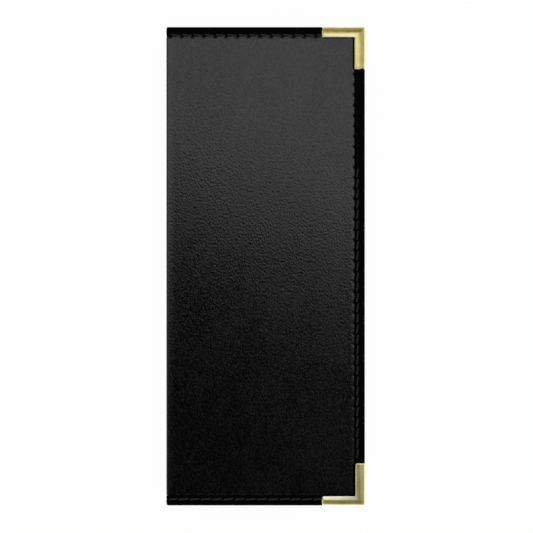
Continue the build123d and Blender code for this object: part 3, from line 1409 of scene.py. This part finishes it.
@dataclass
class BrassCorner:
    """A stamped L-shaped corner: a pillowed face, a wall round the outside and a flange inside."""

    height: float = LAY.z_brass_top
    thickness: float = 0.5 * MM
    flange: float = 6.3 * MM
    rim_round: float = 0.8 * MM
    corner_round: float = 0.75 * MM
    top: Press = Press(6.55 * MM, 0.7, 0.85 * MM, 0.12 * MM, 1.8, 0.0)
    low: Press = Press(5.9 * MM, 0.58, 0.48 * MM, 0.6 * MM, 1.3, 0.35)
    outer_power: float = 1.6
    inner_crown: float = 0.12 * MM
    end_drop: float = 0.3 * MM
    end_width: float = 1.0 * MM
    mitre_width: float = 1.0 * MM
    burr: float = 0.07 * MM
    columns: int = 12
    corner_lines: tuple[float, ...] = (0.25, 0.5, 0.75, 1.0)
    end_lines: tuple[float, ...] = (0.15, 0.4, 0.7, 1.0)
    mitre_lines: Pair = (0.5, 1.0)
    wear_and_painted_reflection: PaintedReflection = PaintedReflection()

    def channel(self, name: str, wide: float) -> Object:
        """Models the first leg as a folded channel that ends in the corner.

        Args:
            name: The piece's name.
            wide: The leg's width.

        Returns:
            The open sheet.
        """
        edge = LAY.y_brass
        sheet = add_sheet(name, (LAY.x_leg_end, edge - wide), (LAY.x_brass, edge), 0.0)
        with editing(sheet):
            pick_points(sheet, lambda place: near(place.y, edge))
            extrude(z=self.height)
            extrude(y=-self.flange)
            pick_edges(sheet, lambda middle, span: near(middle.y, edge) and near(span.z, 0))
            bpy.ops.mesh.bevel(offset=self.rim_round, segments=4, affect="EDGES")
            for column in range(1, self.columns):
                cut_y(edge - wide * column / self.columns)
        return sheet

    def pillow(self, place: Vector, press: Press) -> None:
        """Lets the face fall from its crest to both sides, and ends the first leg on the mitre.

        Args:
            place: A point of the first leg.
            press: How the corner is pressed.
        """
        share = (LAY.y_brass - place.y) / press.leg_width
        past = max(share - press.crest, 0.0) / (1.0 - press.crest)
        if place.z < self.height / 2:
            place.z += press.outer_fall * max(1.0 - share / press.crest, 0.0) ** self.outer_power
            place.z += press.inner_fall * past**press.power
        else:
            place.z -= self.inner_crown * past**2
        if near(place.x, LAY.x_brass):
            place.x -= LAY.y_brass - place.y

    def round_off(self, place: Vector, wide: float) -> None:
        """Rounds the outer corner in plan and lets the ends of both legs fall away.

        Args:
            place: A point of the corner.
            wide: Its legs' width.
        """
        across, along = LAY.x_brass - place.x, LAY.y_brass - place.y
        radius = self.corner_round
        way = Vector((radius - across, radius - along))
        if across < radius and along < radius and way.length > NEAR:
            way = way.normalized() * (radius - min(across, along))
            place.x, place.y = LAY.x_brass - radius + way.x, LAY.y_brass - radius + way.y
        end = min(place.x - LAY.x_leg_end, self.end_width) if along < wide + NEAR else self.end_width
        end = min(end, place.y - LAY.y_leg_end)
        fall = self.end_drop * (1.0 - max(end, 0.0) / self.end_width) ** 2
        place.z += fall if place.z < self.height / 2 else -fall

    def corner(self, name: str, press: Press) -> Object:
        """Models a corner at the top of the back leaf.

        Args:
            name: The piece's name.
            press: How it is pressed, and how bright its painted reflection is.

        Returns:
            The corner.
        """
        piece = self.channel(name, press.leg_width)
        reshape(piece, lambda place, normal: self.pillow(place, press))
        with editing(piece):
            pick_points(piece, lambda place: near(LAY.x_brass - place.x, LAY.y_brass - place.y))
            extrude(y=-2 * press.leg_width)
            rescale(1, 0, 1, (0, LAY.y_leg_end, 0))
            for share in self.corner_lines:
                cut_x(LAY.x_brass - self.corner_round * share)
                cut_y(LAY.y_brass - self.corner_round * share)
            for share in self.end_lines:
                cut_x(LAY.x_leg_end + self.end_width * share)
                cut_y(LAY.y_leg_end + self.end_width * share)
            for share in self.mitre_lines:
                cut((LAY.x_brass, LAY.y_brass - self.mitre_width * share, 0), (1, -1, 0))
        face_towards(piece, DOWN)
        reshape(piece, lambda place, normal: self.round_off(place, press.leg_width))
        thicken(piece, self.thickness)
        sharp = math.radians(60)
        finish_modifier(piece, "BEVEL", width=self.burr, segments=2, limit_method="ANGLE", angle_limit=sharp)
        self.paint_reflection(piece, press)
        return piece

    def paint_reflection(self, piece: Object, press: Press) -> None:
        """Stores the painted reflection of each point of a corner, from 0 to 1: painted highlights at the
        edges and a painted dark band across the face.

        Args:
            piece: A corner at the top of the back leaf.
            press: How it is pressed, and how bright its painted reflection is.
        """
        wear_and_painted_reflection = self.wear_and_painted_reflection
        start, run = wear_and_painted_reflection.inner_band
        values = piece.data.attributes.new(PAINTED_REFLECTION, "FLOAT", "POINT")
        for point, value in zip(piece.data.vertices, values.data):
            across, along = LAY.x_brass - point.co.x, LAY.y_brass - point.co.y
            inset = min(across, along)
            share = inset / press.leg_width
            upright = ease((along - across) / self.mitre_width)
            end = min(point.co.x - LAY.x_leg_end, point.co.y - LAY.y_leg_end)
            # The inner edge gets a painted highlight, less of it on the upright leg.
            inner = wear_and_painted_reflection.inner * ease((share - start) / run) * (1.0 - wear_and_painted_reflection.upright_inner * upright)
            # A band across the face is painted dark, a painted dark reflection.
            painted_dark_reflection = wear_and_painted_reflection.painted_dark_reflection * hump(share - wear_and_painted_reflection.dark_reflection_line, wear_and_painted_reflection.dark_reflection_width)
            face = wear_and_painted_reflection.face + inner - painted_dark_reflection * (1.0 - wear_and_painted_reflection.upright_dark_reflection * upright)
            # The whole corner's painted reflection is brightened by the press, less on the upright leg.
            face += press.painted_brightening * (1.0 - wear_and_painted_reflection.upright_brightening * upright)
            # The leg ends and the outer rim get painted highlights.
            at_end, at_rim = hump(end, self.end_width), hump(inset, wear_and_painted_reflection.rim_width)
            value.value = max(face, wear_and_painted_reflection.end * at_end, wear_and_painted_reflection.rim * at_rim)

    def build(self) -> list[Object]:
        """Models the four corners.

        Returns:
            The corners of both leaves.
        """
        name = "back_brass_bottom"
        corners = {"top": self.corner("back_brass_top", self.top)}
        corners["bottom"] = to_bottom(self.corner(name, self.low), name)
        pairs = [on_both_leaves(back, BRASS, 32, "corner_" + end) for end, back in corners.items()]
        return [piece for pair in pairs for piece in pair]


@dataclass
class Inside:
    """What an opened leaf shows: the lining, turned down over the board, and the clear pocket."""

    lining_thickness: float = 0.3 * MM
    film_thickness: float = 0.2 * MM
    band_width: float = 5.75 * MM
    step_width: float = 0.25 * MM
    slack_fade: Pair = (14 * MM, 4 * MM)
    ripple: float = 0.06 * MM
    ripple_length: float = 30.0 * MM
    ripple_rest: float = 0.4
    cells: int = 20
    margin_lines: tuple[int, ...] = (0, 1, 3)

    def lining(self) -> Object:
        """Models the lining of the back leaf, with the gutter and its half of the spine.

        Returns:
            The lining.
        """
        thick = self.lining_thickness
        gutter = LAY.z_board + thick
        high = (LAY.x_core, LAY.y_core)
        sheet = add_sheet("back_inner_lining", (LAY.x_board, -LAY.y_core), high, LAY.z_film)
        with editing(sheet):
            pick_points(sheet, lambda place: near(place.x, LAY.x_board))
            # Over the board's edge in two steps and out into the gutter, by shares of the thickness.
            extrude(x=-thick * 0.7, z=-thick * 0.4)
            extrude(x=-thick * 0.3, z=gutter + thick - LAY.z_film)
            extrude(x=-thick * 0.6, z=-thick * 0.6)
            pick_points(sheet, lambda place: place.z < gutter + thick * 0.1)
            rescale(1, 1, 0, (0, 0, gutter))
            extrude(x=LAY.x_fold - (LAY.x_board - thick * 1.6))
            wrap_spine(sheet)
        face_towards(sheet, UP)
        thicken(sheet, thick)
        return sheet

    def raise_face(self, place: Vector, top: float) -> None:
        """Lifts the pocket's face above its sewn margin and lets it ripple a little.

        Args:
            place: A point of the film.
            top: The height of the margin.
        """
        inset = min(LAY.x_tape - place.x, LAY.y_tape - abs(place.y)) - self.band_width
        lift = ease(inset / self.step_width) * (LAY.z_pocket - top)
        slack = ease(inset / self.slack_fade[0]) * ease((place.x - LAY.x_film) / self.slack_fade[1])
        wave = noise.noise(place / self.ripple_length) - self.ripple_rest
        place.z += lift + wave * self.ripple * slack

    def film(self) -> Object:
        """Models the pocket of the back leaf: a sewn margin and a slightly slack clear face.

        Returns:
            The film.
        """
        top = LAY.z_film + self.film_thickness
        high = (LAY.x_core, LAY.y_core)
        sheet = add_sheet("back_clear_pocket", (LAY.x_film, -LAY.y_core), high, top)
        with editing(sheet, "SELECT"):
            bpy.ops.mesh.subdivide(number_cuts=self.cells)
            for steps in self.margin_lines:
                inset = self.band_width + steps * self.step_width
                cut_x(LAY.x_tape - inset)
                cut_y(LAY.y_tape - inset)
                cut_y(inset - LAY.y_tape)
        reshape(sheet, lambda place, normal: self.raise_face(place, top))
        face_towards(sheet, UP)
        thicken(sheet, self.film_thickness)
        return sheet

    def build(self) -> list[Object]:
        """Models the lining and the pocket of both leaves.

        Returns:
            The four pieces.
        """
        lining, film = self.lining(), self.film()
        pieces = on_both_leaves(lining, LINING, 40, "lining", folds=True)
        return pieces + on_both_leaves(film, FILM, 50, "pocket_film", "pocket_margin")


@dataclass(frozen=True)
class Softbox:
    """A rectangular lamp, whose radiance of 1 renders as white."""

    name: str
    place: Vector
    turn: Euler
    size: Pair
    radiance: float

    def add(self) -> None:
        """Hangs the lamp."""
        clear_selection()
        bpy.ops.object.light_add(type="AREA", location=self.place)
        lamp = bpy.context.active_object
        lamp.name = self.name
        lamp.rotation_euler = self.turn
        lamp.data.shape = "RECTANGLE"
        lamp.data.size, lamp.data.size_y = self.size
        lamp.data.energy = self.radiance * math.pi * self.size[0] * self.size[1]


@dataclass
class Studio:
    """The camera, the lamps, the floor and the light all round."""

    lens: float = 100.0
    sensor: float = 36.0
    photo_width: float = 325.35 * MM
    centre: Pair = (0.52 * MM, -0.15 * MM)
    key_start: float = 0.07
    key_size: Pair = (1.15, 0.6)
    key_height: float = 1.38
    key_turn: float = math.radians(19.0)
    key_radiance: float = 1.35
    strip_place: Triple = (0.45, -1.0, 0.7)
    strip_size: Pair = (1.0, 0.3)
    strip_radiance: float = 1.5
    zenith: float = 0.14
    zenith_band: Pair = (-0.1, 0.2)
    horizon: float = 1.5
    horizon_band: Pair = (0.42, 0.92)
    widen: float = 0.2
    widen_turn: float = 0.5
    dark_way: float = math.radians(17.0)
    floor_colour: float = 0.95
    floor_glow: float = 0.96
    floor_reach: float = 3.0

    def add_camera(self) -> None:
        """Puts the camera straight above the front cover, as far as its lens asks."""
        clear_selection()
        height = CAD_BOX[1][2] + self.photo_width * self.lens / self.sensor
        bpy.ops.object.camera_add(location=(*self.centre, height), rotation=(0, 0, 0))
        camera = bpy.context.active_object
        camera.data.lens = self.lens
        camera.data.sensor_width = self.sensor
        camera.data.clip_start = 0.01
        bpy.context.scene.camera = camera

    def add_lamps(self) -> None:
        """Hangs the large softbox beyond the top edge and a weak strip beyond the bottom edge."""
        way = Vector((math.sin(self.key_turn), math.cos(self.key_turn), 0.0))
        middle = way * (self.key_start + self.key_size[1] / 2) + UP * self.key_height
        turn = Euler((0, 0, -self.key_turn))
        Softbox("key_softbox", middle, turn, self.key_size, self.key_radiance).add()
        place = Vector(self.strip_place)
        turn = (-place).to_track_quat("-Z", "Y").to_euler()
        Softbox("low_strip", place, turn, self.strip_size, self.strip_radiance).add()

    def add_world(self) -> None:
        """Makes the room dark overhead, darkest towards the spine, and pale near the horizon."""
        world = bpy.data.worlds.new("studio_room")
        bpy.context.scene.world = world
        world.use_nodes = True
        graph = Graph(world.node_tree)
        times, plus = graph.times, graph.plus
        source = graph.node("TexCoord").outputs["Generated"]
        x, y, z = graph.node("SeparateXYZ", Vector=source).outputs
        near_side = graph.math("MINIMUM", plus(times(x, self.widen_turn), y), 0.0)
        low = graph.spread(plus(z, times(near_side, self.widen)), 1.0, 0.0, self.horizon_band)
        low = times(times(low, low), self.horizon)
        way = plus(times(x, math.cos(self.dark_way)), times(y, math.sin(self.dark_way)))
        level = plus(low, graph.spread(way, 0.0, self.zenith, self.zenith_band))
        seen = graph.node("LightPath").outputs["Is Camera Ray"]
        shown = plus(times(level, graph.math("SUBTRACT", 1.0, seen)), seen)
        graph.put(world.node_tree.nodes["Background"], Strength=shown, Color=(1.0, 1.0, 1.0, 1.0))

    def floor_material(self) -> Material:
        """Builds the white floor, which keeps the cover's shadow.

        Returns:
            The material.
        """
        surface = Surface("white_floor")
        surface.shade(Base_Color=(*(self.floor_colour,) * 3, 1.0), Roughness=1.0, Specular_IOR_Level=0.0)
        path = surface.node("LightPath").outputs
        seen = surface.math("MAXIMUM", path["Is Camera Ray"], path["Is Glossy Ray"])
        seen = surface.math("MAXIMUM", seen, path["Is Transmission Ray"])
        glow = surface.node("Emission", Strength=1.0)
        blend = surface.node("MixShader", Fac=surface.times(seen, self.floor_glow))
        surface.feed(blend.inputs[1], surface.shader.outputs[0])
        surface.feed(blend.inputs[2], glow.outputs[0])
        surface.put(surface.tree.nodes["Material Output"], Surface=blend.outputs[0])
        return surface.material

    def add_floor(self) -> None:
        """Lays the floor under the cover."""
        reach = self.floor_reach
        floor = add_sheet("floor", (-reach, -reach), (reach, reach), 0.0)
        floor.data.materials.append(self.floor_material())

    def build(self) -> None:
        """Sets up the whole studio."""
        bpy.context.scene.view_settings.view_transform = "Standard"
        self.add_camera()
        self.add_lamps()
        self.add_world()
        self.add_floor()


def dress_cad_nodes() -> None:
    """Gives every node of the frame its finish, whether it is replaced or not."""
    finishes = {
        "skin": LEATHERETTE,
        "board": BOARD,
        "lining": LINING,
        "pocket": FILM,
        "binding": EDGE_TAPE,
        "stitching": THREAD,
        "corner": BRASS,
    }
    for name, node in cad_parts.items():
        for word, finish in finishes.items():
            if word in name:
                coat(node, finish)


def main() -> None:
    """Builds the studio and every piece in order."""
    logging.basicConfig(level=logging.INFO, format="%(message)s")
    Studio().build()
    dress_cad_nodes()
    for assembly in (CoverSkin(), EdgeTape(), Stitching(), BrassCorner(), Inside()):
        for piece in assembly.build():
            LOG.info("%s: %d faces", piece.name, len(piece.data.polygons))


if __name__ == "__main__":
    main()
